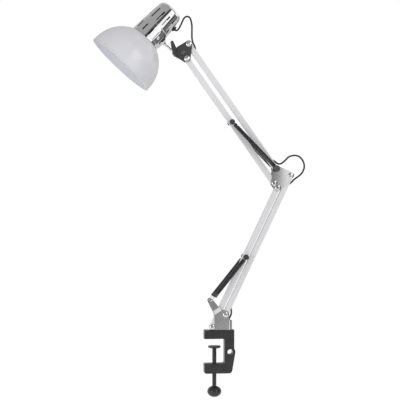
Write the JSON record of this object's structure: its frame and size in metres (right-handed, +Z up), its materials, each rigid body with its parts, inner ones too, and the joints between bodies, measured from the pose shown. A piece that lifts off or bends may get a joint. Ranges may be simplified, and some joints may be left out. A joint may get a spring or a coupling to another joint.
{
  "type": "architect lamp",
  "caption": "Clamp-on spring-balanced desk lamp: two-stage parallel square-tube arms, domed metal shade under a vented cap, tilting and swivelling head, and a screw clamp for a table edge.",
  "frame": {"origin": "on the underside of the clamp's upper jaw, where it rests on a table top, on the clamping screw's axis", "axes": "+X from the screw towards the clamp's spine, +Y to the rear as pictured, +Z up"},
  "size_m": [0.4911, 0.2427, 0.9057],
  "materials": {
    "shade_white": "gloss enamel",
    "bar_white": "gloss enamel",
    "chrome": "polished",
    "zinc": "bright zinc",
    "black_cast": "semi-gloss black",
    "black_plastic": "satin",
    "black_gloss": "gloss",
    "black_steel": "black oxide",
    "cord_black": "smooth",
    "brass": "plain"
  },
  "bodies": {
    "clamp": {"clamp_frame": "black_cast", "lead_hank": "cord_black", "hank_tie": "cord_black", "plug_body": "black_plastic", "plug_pins": "chrome", "cord_tail_b": "cord_black"},
    "pad": {"clamp_pad": "black_steel"},
    "screw": {"clamp_screw": "black_steel", "clamp_knob": "black_gloss"},
    "base": {"swivel_post": "chrome", "base_bracket": "zinc", "base_bolts": "zinc", "base_nuts": "zinc", "cord_tail_a": "cord_black"},
    "lower_main": {"lower_main_bar": "bar_white", "lower_main_bushes": "black_plastic"},
    "lower_second": {"lower_second_bar": "bar_white", "lower_second_bushes": "black_plastic", "lower_spring_pin": "zinc", "lower_spring_spools": "black_plastic"},
    "lower_spring": {"lower_coils": "black_steel", "lower_coil_hooks": "chrome"},
    "lower_hook": {"lower_spring_eyes": "black_steel"},
    "elbow": {"elbow_plates": "zinc", "elbow_bolts": "zinc", "elbow_nuts": "zinc", "elbow_stud": "zinc", "elbow_spools": "black_plastic", "elbow_loop_a": "cord_black", "elbow_loop_b": "cord_black"},
    "upper_main": {"upper_main_bar": "bar_white", "upper_main_bushes": "black_plastic"},
    "upper_second": {"upper_second_bar": "bar_white", "upper_second_bushes": "black_plastic", "upper_spring_pin": "zinc", "upper_spring_spools": "black_plastic"},
    "upper_spring": {"upper_coils": "black_steel", "upper_coil_eyes": "black_steel"},
    "upper_hook": {"upper_spring_eyes": "black_steel"},
    "link": {"link_cheeks": "black_plastic", "link_bolts": "zinc", "link_nuts": "zinc", "tilt_bolt": "black_plastic", "tilt_wing_nut": "black_plastic", "head_loop_b": "cord_black", "head_loop_c": "cord_black"},
    "knuckle": {"knuckle": "black_plastic"},
    "head": {"stem_rod": "chrome", "head_strap": "chrome", "strap_screws": "zinc", "cap": "chrome", "shade": "shade_white", "lampholder_body": "black_gloss", "lampholder_shell": "brass", "lampholder_contact": "brass", "shade_ring": "black_gloss", "cord_gland": "cord_black", "head_loop_a": "cord_black"}
  },
  "joints": [
    {"name": "pad_slide", "type": "slide", "parent": "clamp", "child": "pad", "axis": [0, 0, 1], "range_m": [-0.0335, 0.016]},
    {"name": "screw_turn", "type": "hinge", "parent": "pad", "child": "screw", "pos_m": [0, 0, -0.05], "axis": [0, 0, 1], "continuous": true},
    {"name": "base_swivel", "type": "hinge", "parent": "clamp", "child": "base", "pos_m": [0.0333, 0, 0.02], "axis": [0, 0, 1], "range_deg": [-170, 170], "deforming": ["cord_tail_b"]},
    {"name": "lower_arm", "type": "hinge", "parent": "base", "child": "lower_main", "pos_m": [0.0254, 0, 0.0556], "axis": [0, 1, 0], "range_deg": [-65, 4.5], "deforming": ["cord_tail_a"]},
    {"name": "lower_second_pivot", "type": "hinge", "parent": "base", "child": "lower_second", "pos_m": [-0.00532, 0, 0.02696], "axis": [0, 1, 0], "range_deg": [-65.01, 4.51]},
    {"name": "lower_spring_pivot", "type": "hinge", "parent": "base", "child": "lower_spring", "pos_m": [-0.0094, 0, 0.0876], "axis": [0, 1, 0], "range_deg": [-93.94, 6.51], "deforming": ["lower_coils"]},
    {"name": "lower_eye_pivot", "type": "hinge", "parent": "lower_second", "child": "lower_hook", "pos_m": [0.07131, 0, 0.18762], "axis": [0, 1, 0], "range_deg": [-28.93, 2.01]},
    {"name": "elbow_level", "type": "hinge", "parent": "lower_main", "child": "elbow", "pos_m": [0.17823, 0, 0.37602], "axis": [0, 1, 0], "range_deg": [-4.51, 65.01], "deforming": ["elbow_loop_b"]},
    {"name": "upper_arm", "type": "hinge", "parent": "elbow", "child": "upper_main", "pos_m": [0.14323, 0, 0.39162], "axis": [0, 1, 0], "range_deg": [-60, 20], "deforming": ["elbow_loop_a"]},
    {"name": "upper_second_pivot", "type": "hinge", "parent": "elbow", "child": "upper_second", "pos_m": [0.13923, 0, 0.35811], "axis": [0, 1, 0], "range_deg": [-60.01, 20.01]},
    {"name": "upper_spring_pivot", "type": "hinge", "parent": "elbow", "child": "upper_spring", "pos_m": [0.14323, 0, 0.39162], "axis": [0, 1, 0], "range_deg": [-63.61, 21.21], "deforming": ["upper_coils"]},
    {"name": "upper_eye_pivot", "type": "hinge", "parent": "upper_second", "child": "upper_hook", "pos_m": [0.03935, 0, 0.49813], "axis": [0, 1, 0], "range_deg": [-3.61, 1.21]},
    {"name": "link_level", "type": "hinge", "parent": "upper_main", "child": "link", "pos_m": [-0.06001, 0, 0.67656], "axis": [0, 1, 0], "range_deg": [-20.01, 60.01], "deforming": ["head_loop_c"]},
    {"name": "head_tilt", "type": "hinge", "parent": "link", "child": "knuckle", "pos_m": [-0.07372, 0, 0.65756], "axis": [0, 1, 0], "range_deg": [-45, 45], "deforming": ["head_loop_b"]},
    {"name": "head_swivel", "type": "hinge", "parent": "knuckle", "child": "head", "pos_m": [-0.11701, 0, 0.67867], "axis": [0.7349, 0, -0.6782], "range_deg": [-90, 90], "deforming": ["head_loop_a"]}
  ],
  "couplings": [
    {"joint": "screw_turn", "follows": "pad_slide", "rad_per_m": 2094.4},
    {"joint": "lower_second_pivot", "follows": "lower_arm", "ratio": 1},
    {"joint": "lower_spring_pivot", "follows": "lower_arm", "ratio": 1.445},
    {"joint": "lower_eye_pivot", "follows": "lower_arm", "ratio": 0.445},
    {"joint": "elbow_level", "follows": "lower_arm", "ratio": -1},
    {"joint": "upper_second_pivot", "follows": "upper_arm", "ratio": 1},
    {"joint": "upper_spring_pivot", "follows": "upper_arm", "ratio": 1.06},
    {"joint": "upper_eye_pivot", "follows": "upper_arm", "ratio": 0.06},
    {"joint": "link_level", "follows": "upper_arm", "ratio": -1}
  ]
}
